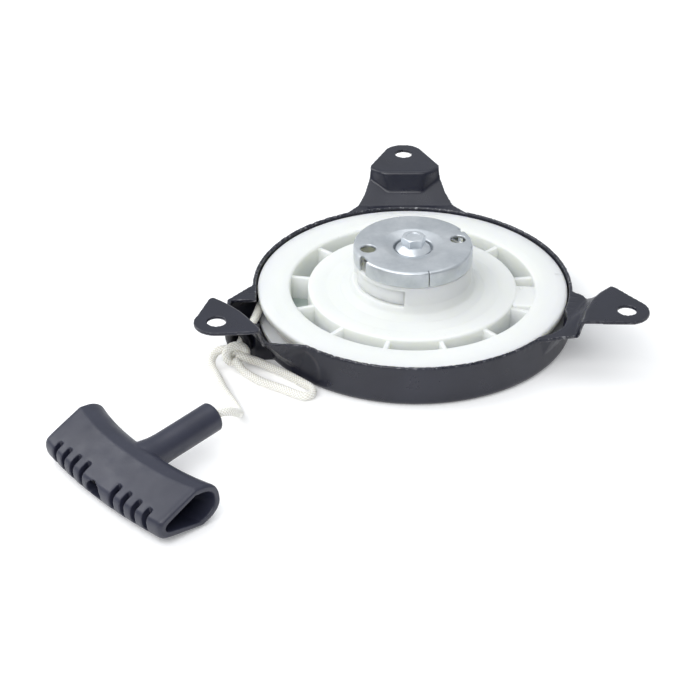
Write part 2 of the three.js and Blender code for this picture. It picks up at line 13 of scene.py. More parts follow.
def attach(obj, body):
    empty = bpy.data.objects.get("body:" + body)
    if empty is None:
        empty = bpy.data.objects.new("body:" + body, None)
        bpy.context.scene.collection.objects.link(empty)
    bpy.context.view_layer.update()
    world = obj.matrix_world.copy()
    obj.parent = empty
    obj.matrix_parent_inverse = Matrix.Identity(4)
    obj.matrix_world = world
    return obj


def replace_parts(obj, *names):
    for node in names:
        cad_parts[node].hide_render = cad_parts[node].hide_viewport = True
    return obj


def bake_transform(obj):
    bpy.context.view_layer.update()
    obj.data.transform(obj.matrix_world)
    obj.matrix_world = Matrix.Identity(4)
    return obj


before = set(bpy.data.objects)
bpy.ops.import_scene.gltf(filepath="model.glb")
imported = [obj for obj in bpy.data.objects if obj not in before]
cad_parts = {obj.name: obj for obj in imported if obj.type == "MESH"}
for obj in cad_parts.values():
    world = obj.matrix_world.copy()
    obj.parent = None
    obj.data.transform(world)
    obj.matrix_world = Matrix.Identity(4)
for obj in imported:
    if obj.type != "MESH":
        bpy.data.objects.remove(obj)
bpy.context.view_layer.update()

MM = 0.001
WELD = 2e-6  # metres between points that count as one
SHARP = 35.0  # degrees past which an edge is drawn sharp

# Driving dimensions: the frame's own, but for the two that say otherwise
SHEET = 1.6
HOUSING_R = 73.8
HOUSING_FOOT_R = 74.4
HOUSING_TOP = 19.5
HOUSING_FILLET = 3.0
EAR_HOLE_R = 104.0
EAR_HOLE_D = 8.3
EAR_TIP_R = 10.0
EAR_TOP = 33.0
EAR_PAD_HALF = 17.0
REEL_R = 71.7
REEL_TOP = 18.6
REEL_WINDOW_R = 56.5
DISC_R = 48.3
TOWER_R = 27.2
TOWER_TOP = 31.9  # the frame's tower is 1.1 lower
GUIDE_R = 27.3
GUIDE_TOP = 39.6
GUIDE_SKIRT = 7.4  # the frame's skirt is 1.1 longer
GUIDE_SHEET = 1.2
BOLT_FLATS = 10.0
BOLT_TOP = 43.7
ROPE_R = 2.0
ROPE_Z = 10.0
HANDLE_LENGTH = 79.0
HANDLE_WALL = 3.0
STEM_R = 6.5



def linked(name, data):
    made = bpy.data.objects.new(name, data)
    bpy.context.scene.collection.objects.link(made)
    return made


# ---------------- camera
CAMERA_AT = Vector((-28.68, -801.44, 490.21))
CAMERA_TILT = 57.622
CAMERA_ROLL = 0.222


def make_camera():
    data = bpy.data.cameras.new("camera")
    data.sensor_width = 36.0
    data.lens = 103.43
    data.clip_start, data.clip_end = 0.02, 20.0
    camera = linked("camera", data)
    tilt = Matrix.Rotation(math.radians(CAMERA_TILT), 4, "X")
    roll = Matrix.Rotation(math.radians(CAMERA_ROLL), 4, "Z")
    camera.matrix_world = Matrix.Translation(CAMERA_AT * MM) @ tilt @ roll
    bpy.context.scene.camera = camera


make_camera()


# ---------------- small mathematics
def polar(radius, degrees, z=0.0):
    angle = math.radians(degrees)
    return Vector((radius * math.cos(angle), radius * math.sin(angle), z))


def clamp(value, low=0.0, high=1.0):
    return max(low, min(high, value))


def smooth(value):
    value = clamp(value)
    return value * value * (3 - 2 * value)


def mix(a, b, share):
    return a + (b - a) * share


def along(profile, x):
    """The height of a broken line at x, held level past its ends."""
    if x <= profile[0][0]:
        return profile[0][1]
    for (x0, y0), (x1, y1) in zip(profile, profile[1:]):
        if x <= x1:
            return mix(y0, y1, (x - x0) / (x1 - x0))
    return profile[-1][1]


def softened(profile, x, reach):
    """The broken line's height with its corners rounded over reach."""
    offsets = (-1.0, -0.6, -0.2, 0.2, 0.6, 1.0)
    return sum(along(profile, x + reach * k) for k in offsets) / len(offsets)


def spline(points, step):
    """Points about step apart on a smooth centripetal curve through the given ones."""
    knots = [Vector(p) for p in points]
    knots = [2 * knots[0] - knots[1]] + knots + [2 * knots[-1] - knots[-2]]
    found = []
    for i in range(1, len(knots) - 2):
        p = knots[i - 1 : i + 3]
        t = [0.0]
        for a, b in zip(p, p[1:]):
            t.append(t[-1] + math.sqrt((b - a).length))
        pieces = max(2, math.ceil((p[2] - p[1]).length / step))
        for k in range(pieces):
            x = mix(t[1], t[2], k / pieces)
            level = list(p)
            for span in (1, 2, 3):
                level = [a.lerp(b, between(x, t, j, span))
                         for j, (a, b) in enumerate(zip(level, level[1:]))]
            found.append(level[0])
    found.append(knots[-2].copy())
    return found


def between(x, t, j, span):
    """Share of the way at one level of the curve's pyramid, whose last spans its middle piece."""
    low, high = (t[1], t[2]) if span == 3 else (t[j], t[j + span])
    return (x - low) / (high - low)


# ---------------- objects
def make_object(name, vertices, faces, material):
    mesh = bpy.data.meshes.new(name)
    mesh.from_pydata([Vector(v) * MM for v in vertices], [], faces)
    mesh.validate()
    clean = bmesh.new()
    clean.from_mesh(mesh)
    bmesh.ops.remove_doubles(clean, verts=clean.verts, dist=WELD)
    bmesh.ops.recalc_face_normals(clean, faces=clean.faces)
    clean.to_mesh(mesh)
    clean.free()
    made = linked(name, mesh)
    mesh.materials.append(material)
    shade(made)
    return made


def shade(made, sharp=SHARP):
    mesh = made.data
    mesh.polygons.foreach_set("use_smooth", [True] * len(mesh.polygons))
    mesh.set_sharp_from_angle(angle=math.radians(sharp))


def apply_modifiers(made, sharp=SHARP):
    graph = bpy.context.evaluated_depsgraph_get()
    mesh = bpy.data.meshes.new_from_object(made.evaluated_get(graph))
    made.modifiers.clear()
    old = made.data
    made.data = mesh
    bpy.data.meshes.remove(old)
    shade(made, sharp)
    return made


def round_edges(made, width, segments=2, angle=32.0):
    bevel = made.modifiers.new("bevel", "BEVEL")
    bevel.width = width * MM
    bevel.segments = segments
    bevel.limit_method = "ANGLE"
    bevel.angle_limit = math.radians(angle)
    return apply_modifiers(made)


def cut(made, *tools, operation="DIFFERENCE"):
    for tool in tools:
        step = made.modifiers.new("cut", "BOOLEAN")
        step.operation = operation
        step.solver = "EXACT"
        step.object = tool
        apply_modifiers(made)
        bpy.data.objects.remove(tool)
    return made


def remesh(made, voxel, smoothing):
    """Made over as one skin with faces of about the voxel's size."""
    step = made.modifiers.new("remesh", "REMESH")
    step.mode = "VOXEL"
    step.voxel_size = voxel * MM
    if smoothing:
        even = made.modifiers.new("even", "SMOOTH")
        even.factor = 0.5
        even.iterations = smoothing
    return apply_modifiers(made, sharp=180)


def turned(name, profile, material, segments=192):
    """A solid turned about +Z. The profile, (r, z), is closed or starts and ends on the axis."""
    vertices, faces = [], []
    count = len(profile)
    for i in range(segments):
        vertices += [polar(r, 360 * i / segments, z) for r, z in profile]
    closed = profile[0][0] > 1e-6
    last = count if closed else count - 1
    for i in range(segments):
        a, b = i * count, ((i + 1) % segments) * count
        for j in range(last):
            k = (j + 1) % count
            face = [a + j, b + j, b + k, a + k]
            if not closed and profile[j][0] < 1e-6:
                face = [a + j, b + k, a + k]
            if not closed and profile[k][0] < 1e-6:
                face = [a + j, b + j, a + k]
            faces.append(face)
    return make_object(name, vertices, faces, material)


def rod(name, radius, low, high, material, segments=48):
    return turned(name, [(0, low), (radius, low), (radius, high), (0, high)], material, segments)


def rounded(profile, radii, steps=5):
    """A profile whose corners are replaced by arcs of the given radii, one for each corner."""
    made = []
    for i, (corner, radius) in enumerate(zip(profile, radii)):
        here = Vector(corner)
        if radius <= 0:
            made.append(tuple(here))
            continue
        before = Vector(profile[i - 1]) - here
        after = Vector(profile[(i + 1) % len(profile)]) - here
        half = before.angle(after) / 2
        back = min(radius / math.tan(half), before.length * 0.49, after.length * 0.49)
        start = here + before.normalized() * back
        end = here + after.normalized() * back
        for k in range(steps + 1):
            t = k / steps
            made.append(tuple((1 - t) ** 2 * start + 2 * t * (1 - t) * here + t * t * end))
    return made


def prism(name, outline, low, high, material):
    count = len(outline)
    vertices = [(x, y, low) for x, y in outline] + [(x, y, high) for x, y in outline]
    faces = [list(reversed(range(count))), list(range(count, 2 * count))]
    for i in range(count):
        k = (i + 1) % count
        faces.append([i, k, count + k, count + i])
    return make_object(name, vertices, faces, material)


def block(name, x, y, z, material):
    outline = [(x[0], y[0]), (x[1], y[0]), (x[1], y[1]), (x[0], y[1])]
    return prism(name, outline, z[0], z[1], material)


def hull(name, points, material):
    """The smallest convex solid round the points."""
    form = bmesh.new()
    for point in points:
        form.verts.new(Vector(point) * MM)
    found = bmesh.ops.convex_hull(form, input=form.verts)
    spare = {v for v in found["geom_interior"] + found["geom_unused"]
             if isinstance(v, bmesh.types.BMVert)}
    bmesh.ops.delete(form, geom=list(spare), context="VERTS")
    bmesh.ops.recalc_face_normals(form, faces=form.faces)
    mesh = bpy.data.meshes.new(name)
    form.to_mesh(mesh)
    form.free()
    mesh.materials.append(material)
    return linked(name, mesh)


def spun(made, degrees):
    made.data.transform(Matrix.Rotation(math.radians(degrees), 4, "Z"))
    return made


def moved(made, x, y, z):
    made.data.transform(Matrix.Translation(Vector((x, y, z)) * MM))
    return made


def joined(name, parts):
    """One object made of the given ones, which may cross each other."""
    whole = bmesh.new()
    for part in parts:
        whole.from_mesh(part.data)
    mesh = parts[0].data.copy()
    whole.to_mesh(mesh)
    whole.free()
    mesh.name = name
    made = linked(name, mesh)
    for part in parts:
        bpy.data.objects.remove(part)
    return made


# ---------------- materials
class Finish:
    """A procedural material: a principled shader and the nodes that feed it."""

    def __init__(self, name, roughness=0.5, metallic=0.0, specular=0.5):
        self.material = bpy.data.materials.new(name)
        self.material.use_nodes = True
        self.tree = self.material.node_tree
        self.shader = self.tree.nodes["Principled BSDF"]
        self.shader.inputs["Roughness"].default_value = roughness
        self.shader.inputs["Metallic"].default_value = metallic
        self.shader.inputs["Specular IOR Level"].default_value = specular
        self.place = self.node("ShaderNodeTexCoord").outputs["Object"]

    def node(self, kind, **settings):
        made = self.tree.nodes.new(kind)
        for key, value in settings.items():
            setattr(made, key, value)
        return made

    def link(self, source, target):
        self.tree.links.new(source, target)

    def noise(self, scale, detail=3.0, roughness=0.5, stretch=None, place=None):
        made = self.node("ShaderNodeTexNoise")
        made.inputs["Scale"].default_value = scale
        made.inputs["Detail"].default_value = detail
        made.inputs["Roughness"].default_value = roughness
        source = place or self.place
        if stretch:
            mapping = self.node("ShaderNodeMapping")
            mapping.inputs["Scale"].default_value = stretch
            self.link(source, mapping.inputs["Vector"])
            source = mapping.outputs["Vector"]
        self.link(source, made.inputs["Vector"])
        return made.outputs["Fac"]

    def ramp(self, source, stops):
        made = self.node("ShaderNodeValToRGB")
        ramp = made.color_ramp
        while len(ramp.elements) < len(stops):
            ramp.elements.new(0.5)
        for element, (position, color) in zip(ramp.elements, stops):
            element.position = position
            element.color = (*color, 1)
        self.link(source, made.inputs["Fac"])
        return made.outputs["Color"]

    def level(self, source, from_low, from_high, to_low, to_high):
        made = self.node("ShaderNodeMapRange")
        values = {"From Min": from_low, "From Max": from_high, "To Min": to_low, "To Max": to_high}
        for key, value in values.items():
            made.inputs[key].default_value = value
        self.link(source, made.inputs["Value"])
        return made.outputs["Result"]

    def times(self, a, b):
        """The product of a and b, which is a number or another output."""
        made = self.node("ShaderNodeMath", operation="MULTIPLY")
        self.link(a, made.inputs[0])
        if isinstance(b, float):
            made.inputs[1].default_value = b
        else:
            self.link(b, made.inputs[1])
        return made.outputs["Value"]

    def blend(self, share, tone, color):
        """The tone, gone over to one fixed color by a share."""
        made = self.node("ShaderNodeMix", data_type="RGBA")
        self.link(share, made.inputs[0])
        self.link(tone, made.inputs[6])
        made.inputs[7].default_value = (*color, 1)
        return made.outputs[2]

    def bump(self, height, strength, distance):
        made = self.node("ShaderNodeBump")
        made.inputs["Strength"].default_value = strength
        made.inputs["Distance"].default_value = distance * MM
        self.link(height, made.inputs["Height"])
        self.link(made.outputs["Normal"], self.shader.inputs["Normal"])

    def attribute(self, name):
        return self.node("ShaderNodeAttribute", attribute_name=name).outputs["Fac"]

    def subsurface(self, weight, radius, scale):
        self.shader.inputs["Subsurface Weight"].default_value = weight
        self.shader.inputs["Subsurface Radius"].default_value = radius
        self.shader.inputs["Subsurface Scale"].default_value = scale * MM

    def color(self, source):
        self.link(source, self.shader.inputs["Base Color"])

    def rough(self, source):
        self.link(source, self.shader.inputs["Roughness"])

    def metal(self, source):
        self.link(source, self.shader.inputs["Metallic"])


def black_paint():
    """Satin black paint on steel: orange peel, dust, and bare metal where the edges are worn."""
    made = Finish("black_paint")
    tones = [(0.3, (0.008, 0.0088, 0.0175)), (0.7, (0.0135, 0.0147, 0.027))]
    tone = made.ramp(made.noise(45, 3), tones)
    dust = made.level(made.noise(2600, 3, 0.7), 0.64, 0.78, 0, 0.12)
    tone = made.blend(dust, tone, (0.25, 0.25, 0.26))
    patches = made.level(made.noise(420, 4, 0.65), 0.46, 0.56, 0, 1)
    worn = made.times(made.attribute("wear"), patches)
    made.color(made.blend(worn, tone, (0.46, 0.46, 0.48)))
    made.metal(made.times(worn, 0.7))
    made.rough(made.level(made.noise(120, 4), 0.3, 0.7, 0.25, 0.38))
    made.bump(made.noise(900, 2), 0.05, 0.12)
    return made.material


def white_nylon():
    """Natural nylon: milky with a faint green cast, moulding marks and a soft sheen."""
    made = Finish("white_nylon", specular=0.4)
    tone = made.ramp(made.noise(22, 3), [(0.3, (0.74, 0.765, 0.735)), (0.7, (0.775, 0.79, 0.765))])
    specks = made.level(made.noise(700, 2, 0.6), 0.72, 0.8, 0, 0.3)
    made.color(made.blend(specks, tone, (0.45, 0.42, 0.36)))
    made.rough(made.level(made.noise(90, 3), 0.3, 0.7, 0.36, 0.52))
    made.subsurface(0.8, (1.0, 1.0, 0.8), 10)
    made.bump(made.noise(260, 3), 0.05, 0.2)
    return made.material


def zinc(name, tone):
    """Zinc plate over pressed steel: fine rolling grain, faint stains and small scratches."""
    made = Finish(name, metallic=0.85)
    grain = made.noise(700, 4, 0.6, stretch=(1.0, 6.0, 1.0))
    low = (tone * 0.72, tone * 0.77, tone * 0.82)
    high = (tone, tone * 1.04, tone * 1.08)
    base = made.ramp(made.noise(70, 5, 0.6), [(0.3, low), (0.66, high)])
    scratch = made.level(made.noise(240, 6, 0.8, stretch=(9.0, 0.6, 1.0)), 0.62, 0.7, 0, 0.5)
    made.color(made.blend(scratch, base, (0.78, 0.8, 0.82)))
    made.rough(made.level(grain, 0.3, 0.7, 0.28, 0.5))
    made.bump(grain, 0.09, 0.1)
    return made.material


def galvanised():
    """Galvanised sheet, with faint spangles."""
    made = Finish("galvanised", metallic=0.3)
    spangle = made.node("ShaderNodeTexVoronoi")
    spangle.inputs["Scale"].default_value = 160
    made.link(made.place, spangle.inputs["Vector"])
    tones = [(0.1, (0.42, 0.49, 0.46)), (0.7, (0.55, 0.62, 0.59))]
    made.color(made.ramp(spangle.outputs["Distance"], tones))
    made.rough(made.level(made.noise(60, 3), 0.3, 0.7, 0.4, 0.6))
    return made.material


def bare_steel(name, tone, roughness):
    """Drawn or turned steel, with grain along its length."""
    made = Finish(name, metallic=1.0)
    grain = made.noise(500, 4, 0.6, stretch=(1.0, 1.0, 8.0))
    made.color(made.ramp(grain, [(0.3, (tone * 0.8,) * 3), (0.7, (tone, tone, tone * 1.02))]))
    made.rough(made.level(grain, 0.3, 0.7, roughness * 0.8, roughness * 1.25))
    return made.material


def handle_plastic():
    """Matte blue-black plastic with a fine moulded grain and a few pale scuffs."""
    made = Finish("handle_plastic", specular=0.55)
    tones = [(0.3, (0.015, 0.017, 0.033)), (0.7, (0.021, 0.023, 0.042))]
    tone = made.ramp(made.noise(55, 3), tones)
    scuff = made.level(made.noise(330, 5, 0.75, stretch=(1.0, 3.0, 1.0)), 0.66, 0.76, 0, 0.22)
    made.color(made.blend(scuff, tone, (0.3, 0.3, 0.34)))
    made.rough(made.level(made.noise(150, 4), 0.3, 0.7, 0.36, 0.5))
    made.bump(made.noise(1500, 2), 0.12, 0.12)
    return made.material


def bush_plastic():
    """Black plastic with a fine moulded grain."""
    made = Finish("black_bush", roughness=0.42, specular=0.4)
    tones = [(0.3, (0.006, 0.006, 0.010)), (0.7, (0.012, 0.012, 0.018))]
    made.color(made.ramp(made.noise(80, 3), tones))
    made.bump(made.noise(900, 2), 0.08, 0.1)
    return made.material


def braided_rope():
    """White nylon rope. The braid itself is in the mesh, and this adds its yarns and a painted
    shade between the strands.
    """
    made = Finish("white_rope", roughness=0.75, specular=0.25)
    uv = made.node("ShaderNodeUVMap").outputs["UV"]
    yarn = made.noise(60, 2, 0.6, stretch=(3.0, 30.0, 1.0), place=uv)
    # painted shade: the rope goes from white on the strands' backs to a yellowish grey deep
    # between them
    tones = [(0.0, (0.96, 0.96, 0.93)), (0.5, (0.87, 0.86, 0.8)), (1.0, (0.58, 0.56, 0.49))]
    tone = made.ramp(made.attribute("groove_shade"), tones)
    made.color(made.blend(made.level(yarn, 0.35, 0.65, 0, 0.25), tone, (0.96, 0.95, 0.9)))
    made.subsurface(0.2, (1.0, 0.9, 0.7), 0.8)
    made.shader.inputs["Sheen Weight"].default_value = 0.3
    made.bump(yarn, 0.35, 0.12)
    return made.material


BLACK = black_paint()
NYLON = white_nylon()
ZINC = zinc("zinc_plate", 0.68)
BOLT_ZINC = zinc("bolt_zinc", 0.78)
GALVANISED = galvanised()
STEEL = bare_steel("steel", 0.55, 0.3)
SPRING = bare_steel("spring_steel", 0.28, 0.35)
PLASTIC = handle_plastic()
BUSH = bush_plastic()
ROPE = braided_rope()


# ---------------- rope
CARRIERS = 8  # strands of the braid in each direction
BRAID_PITCH = 11.0  # length of one turn of a strand
BRAID_DEPTH = 0.16  # of the braid's hollows, as a share of the rope's radius
ROPE_END = (0.55, 0.82, 0.95)  # shares of the radius in the rings next to an end


def braid_height(turn, distance):
    """Height of the braid's surface, 0 deep between the strands and 1 on a strand's back."""
    a = CARRIERS * turn + CARRIERS * distance / BRAID_PITCH
    b = CARRIERS * turn - CARRIERS * distance / BRAID_PITCH
    over = (math.floor(a) + math.floor(b)) % 2 == 0
    main, other = (a, b) if over else (b, a)
    rise = math.sin(math.pi * (main % 1.0)) ** 0.6
    return rise * (0.72 + 0.28 * math.sin(math.pi * (other % 1.0)))


def rope_tube(name, points, step=0.3, sides=40):
    """A braided rope along the curve through points, with rounded ends."""
    line = spline(points, step)
    padded = [line[0], *line, line[-1]]
    tangents = [(b - a).normalized() for a, b in zip(padded, padded[2:])]
    across = tangents[0].orthogonal().normalized()
    vertices, uvs, groove_shades, faces = [], [], [], []
    walked = 0.0
    for i, (point, tangent) in enumerate(zip(line, tangents)):
        if i:
            walked += (point - line[i - 1]).length
        across = (across - tangent * across.dot(tangent)).normalized()
        other = tangent.cross(across)
        ends = min(i, len(line) - 1 - i)
        taper = 1.0 if ends >= len(ROPE_END) else ROPE_END[ends]
        for k in range(sides):
            height = braid_height(k / sides, walked)
            reach = ROPE_R * taper * (1 - BRAID_DEPTH + BRAID_DEPTH * height)
            angle = 2 * math.pi * k / sides
            vertices.append(point + (across * math.cos(angle) + other * math.sin(angle)) * reach)
            uvs.append((walked / 10.0, k / sides))
            # painted shade: a share for each point, full deep between the strands and none on
            # their backs
            groove_shades.append(clamp((0.95 - height) * 2.2))
    for i in range(len(line) - 1):
        for k in range(sides):
            n = (k + 1) % sides
            a, b = i * sides, (i + 1) * sides
            faces.append([a + k, a + n, b + n, b + k])
    last = (len(line) - 1) * sides
    faces.append(list(reversed(range(sides))))
    faces.append(list(range(last, last + sides)))
    mesh = bpy.data.meshes.new(name)
    mesh.from_pydata([v * MM for v in vertices], [], faces)
    layer = mesh.uv_layers.new(name="UVMap")
    for corner in mesh.loops:
        layer.data[corner.index].uv = uvs[corner.vertex_index]
    # the painted shade between the strands, kept on the mesh for the rope's material
    groove_shade = mesh.attributes.new("groove_shade", "FLOAT", "POINT")
    groove_shade.data.foreach_set("value", groove_shades)
    mesh.materials.append(ROPE)
    made = linked(name, mesh)
    shade(made, 60)
    return made, line


ON_FLOOR = 2.15  # height of the axis of a rope that lies on the floor
# From the reel to the outlet, and on into the slip knot
RUN = [
    (-68.4, 1, ROPE_Z), (-70.4, -7.3, ROPE_Z), (-71.5, -14, ROPE_Z), (-72.9, -20.5, ROPE_Z),
    (-74.7, -27.2, ROPE_Z), (-77, -33.2, 9.2), (-78.2, -35.3, 7.4), (-79, -37.3, 6),
    (-79.8, -40.2, 5),
]
LOOP = [
    (-73, -45, 5.3), (-71.2, -44.8, 4.6), (-68.9, -45.2, 3.8), (-66.7, -45.9, 3.1),
    (-62.1, -48.3, 2.4),
    (-57.6, -51.6, ON_FLOOR), (-53.2, -55.6, ON_FLOOR), (-49.6, -59, ON_FLOOR),
    (-46.7, -61.9, ON_FLOOR), (-45, -65, ON_FLOOR), (-45.7, -68.2, ON_FLOOR),
    (-48.7, -69.6, ON_FLOOR), (-52.4, -67.8, ON_FLOOR), (-57.2, -64.6, ON_FLOOR),
    (-61.7, -61.9, ON_FLOOR), (-66.2, -59.2, ON_FLOOR), (-69.8, -56.3, ON_FLOOR),
    (-73.4, -53.1, 2.3), (-76.4, -50.3, 2.9),
]
TAIL = [
    (-89.4, -41.4, 6), (-90.5, -42.6, 4.6), (-90.7, -44.8, 3.2), (-90, -47.6, 2.3),
    (-88.7, -51, ON_FLOOR), (-87.6, -54, ON_FLOOR), (-86.2, -58, ON_FLOOR),
    (-84.7, -62.5, ON_FLOOR), (-82.3, -68.6, ON_FLOOR), (-79.9, -73.9, ON_FLOOR),
    (-77.8, -79.2, 2.5), (-76.4, -84.4, 3.8), (-76, -89.1, 6.3), (-76.5, -93.4, 9.4),
    (-77.9, -97.2, 12.4), (-80, -100.7, 15), (-82.6, -103.3, 16.35), (-85.49, -105.49, 16.21),
    (-88.4, -108.1, 15.66),
]
# What the slip knot holds: how the bight and the tail go into it, and the two turns that show
LOOP_IN = [(-79.4, -44, 7.6), (-76.4, -44.9, 6.8)]
LOOP_OUT = [(-78.3, -47.9, 4.2), (-80.2, -45.6, 6)]
TAIL_IN = [
    (-76.6, -42, 6.6), (-79.4, -41.6, 7.6), (-82, -41.4, 8.4), (-84.9, -41.6, 8.6),
    (-87.5, -41.1, 7.6),
]
OUTER_TURN = [
    (-80.2, -43.4, 3.6), (-82.2, -45, 4.2), (-83.5, -45.9, 6.4), (-83.8, -45.4, 8.7),
    (-82.9, -44.5, 10.4), (-81, -43.7, 11.3), (-78.4, -43.2, 11.4), (-76.2, -42.9, 10.1),
    (-75.2, -42.6, 7.9), (-75.6, -42.4, 5.6), (-77.4, -42, 4.2),
]
INNER_TURN = [
    (-82.4, -42.2, 4.6), (-81.8, -42.6, 7), (-79.6, -42.7, 8), (-77.4, -42.9, 6.6),
    (-78.4, -43.4, 4.4), (-80.4, -43.4, 3.2),
]


def make_ropes():
    run, _ = rope_tube("rope_run_braid", RUN)
    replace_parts(run, "rope_run")
    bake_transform(run)

    turns = [rope_tube("slip_knot_outer", OUTER_TURN)[0],
             rope_tube("slip_knot_inner", INNER_TURN)[0]]
    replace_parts(turns[0], "slip_knot")
    for piece in turns:
        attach(piece, "pull")

    loop, loop_line = rope_tube("rope_loop_braid", [*LOOP_IN, *LOOP, *LOOP_OUT])
    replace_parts(loop, "rope_loop")
    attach(loop, "pull")

    tail, tail_line = rope_tube("rope_tail_braid", [*TAIL_IN, *TAIL])
    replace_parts(tail, "rope_tail")
    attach(tail, "pull")


make_ropes()


# ---------------- housing
BACK, LEFT, RIGHT = 91.2, 213.5, 333.2  # directions of the three ears
# Half outlines of the ears' necks, as (distance from the axis, distance across)
WIDE = [(62, 33), (67, 29.2), (75, 23), (80.5, 19.9), (86, 18)]
BROAD = [(62, 30), (69, 26.3), (75, 24.6), (80.5, 20), (86, 17.8)]
NARROW = [(62, 25), (69, 21.5), (75, 17.6), (79, 13.8), (84.8, 10), (87.4, 12.4)]
EARS = ((BACK, WIDE, WIDE), (RIGHT, BROAD, NARROW))
EAR_BEND = 90.0  # where the pad's straight sides start
BEND_R = 2.0  # outside radius of the ears' bends
NECK_IN, NECK_OUT, NECK_HALF = 62, 118, 36  # how far the necks' sheets reach before they are cut
# For each neck: where its slope starts, and then, across it, where the pad's bend and the toe of
# the steep face run, and the toe's height
NECKS = {
    BACK: {
        "bend": [(-36, 92), (-17, 88.9), (-13.8, 85.4), (-11, 84),
                 (11, 84), (13.8, 85.4), (17, 88.9), (36, 92)],
        "toe": [(-36, 90), (-17.7, 86.6), (-12.7, 84), (-8.5, 80.8),
                (8.5, 80.8), (12.7, 84), (17.7, 86.6), (36, 90)],
        "toe_z": [(-17.7, 27.7), (-12.7, 25.6), (-8.5, 23), (8.5, 23), (12.7, 25.6), (17.7, 27.7)],
        "start": 74.0,
    },
    RIGHT: {
        "bend": [(-36, 91), (-13.6, 89.2), (-8, 87.6), (3, 86.9),
                 (10, 87.8), (17.1, 90.3), (36, 92)],
        "toe": [(-36, 84.8), (-10, 84.8), (-3, 82.8), (5, 81.8), (17, 85.4), (36, 87)],
        "toe_z": [(-10, 19.8), (-3, 20.6), (5, 22.6), (17, 27)],
        "start": 77.0,
    },
}
POCKET = [(-60, -3), (-73.6, -3), (-84.6, -16.6), (-84.6, -30), (-71, -39), (-58, -37.5)]
POCKET_INSIDE = [
    (-55, -4.6), (-72.4, -4.6), (-83, -17.2), (-83, -29.1), (-70.6, -37.3), (-57, -35.7),
]
SHELF = [(-72, -3), (-73.6, -3), (-84.6, -16.6), (-84.6, -17.2), (-71.4, -16.4)]
OUTLET = Vector((-77.8, -34.5, ROPE_Z))
OUTLET_AZIMUTH = 236.5


def neck_line(neck, t):
    """The sheet's upper face, as (r, z), at one place across the ear, to past the pad's tip."""
    toe, toe_z, bend = (softened(neck[key], t, 0.9) for key in ("toe", "toe_z", "bend"))
    bend = max(bend, toe + 0.7)
    corners = [(NECK_IN, HOUSING_TOP), (neck["start"], HOUSING_TOP), (toe, toe_z),
               (bend, EAR_TOP), (NECK_OUT, EAR_TOP)]
    steps = 7
    line = rounded(corners, (0, 1.5, BEND_R, BEND_R, 0), steps)
    found = []
    for i, ((r0, z0), (r1, z1)) in enumerate(zip(line, line[1:])):
        pieces = 12 if i % (steps + 1) == 0 else 1  # the straights between the rounded corners
        found += [(mix(r0, r1, k / pieces), mix(z0, z1, k / pieces)) for k in range(pieces)]
    return [*found, (NECK_OUT, EAR_TOP)]


def ear_sheet(name, neck):
    """A closed sheet over the ear and round it, thick on the lower side of its upper face."""
    sections = 101
    vertices, faces = [], []
    for i in range(sections):
        t = -NECK_HALF + 2 * NECK_HALF / (sections - 1) * i
        upper = neck_line(neck, t)
        padded = [upper[0], *upper, upper[-1]]
        lower = []
        for (r, z), before, after in zip(upper, padded, padded[2:]):
            way = Vector((after[0] - before[0], after[1] - before[1])).normalized()
            lower.append((r + SHEET * way.y, z - SHEET * way.x))
        vertices += [(r, t, z) for r, z in [*upper, *reversed(lower)]]
    count = len(vertices) // sections
    last = (sections - 1) * count
    for a in range(0, last, count):
        b = a + count
        for j in range(count):
            k = (j + 1) % count
            faces.append([a + k, b + k, b + j, a + j])
    for j in range(count // 2 - 1):
        end = [j, j + 1, count - 2 - j, count - 1 - j]
        faces += [end[::-1], [last + k for k in end]]
    return make_object(name, vertices, faces, BLACK)


def pad_tip(bend):
    """Round end of a pad, from the tangent at one corner to that at the other, as (r, t)."""
    lean = math.hypot(EAR_HOLE_R - bend, EAR_PAD_HALF)
    turn = math.atan2(EAR_HOLE_R - bend, EAR_PAD_HALF) + math.asin(EAR_TIP_R / lean)
    angles = [turn - turn * i / 12 for i in range(25)]
    return [(EAR_HOLE_R + EAR_TIP_R * math.cos(a), EAR_TIP_R * math.sin(a)) for a in angles]


def ear_outline(left, right):
    corner = [(EAR_BEND - 1.4, EAR_PAD_HALF - 0.1), (EAR_BEND, EAR_PAD_HALF + 0.1),
              (EAR_BEND + 1.4, EAR_PAD_HALF - 0.1), (EAR_BEND + 2.8, EAR_PAD_HALF - 0.8)]
    mirrored = [(r, -t) for r, t in [*right, *corner]]
    return list(reversed([*left, *corner, *pad_tip(EAR_BEND), *reversed(mirrored)]))


def sheet_metal(name, rows):
    """A sheet whose upper face goes through rows of points."""
    wide = len(rows[0])
    faces = [[a + j, a + wide + j, a + wide + j + 1, a + j + 1]
             for a in range(0, (len(rows) - 1) * wide, wide) for j in range(wide - 1)]
    sheet = make_object(name, [p for row in rows for p in row], faces, BLACK)
    if sum(face.normal.z * face.area for face in sheet.data.polygons) < 0:
        sheet.data.flip_normals()
    thick = sheet.modifiers.new("sheet", "SOLIDIFY")
    thick.thickness = SHEET * MM
    thick.offset = -1
    return apply_modifiers(sheet)


def bored(ear, azimuth):
    hole = rod("hole", EAR_HOLE_D / 2, 20, 50, BLACK, 64)
    return spun(cut(ear, moved(hole, EAR_HOLE_R, 0, 0)), azimuth)


def make_ear(azimuth, left, right):
    """The neck and pad: one sheet, cut to its outline and turned to its place."""
    sheet = ear_sheet(f"ear_{azimuth:.0f}", NECKS[azimuth])
    remesh(sheet, 0.45, smoothing=0)
    cut(sheet, prism("outline", ear_outline(left, right), 0, 60, BLACK), operation="INTERSECT")
    bored(sheet, azimuth)
    return cut(sheet, rod("inner", HOUSING_R - 0.9, -1, 60, BLACK, 192))


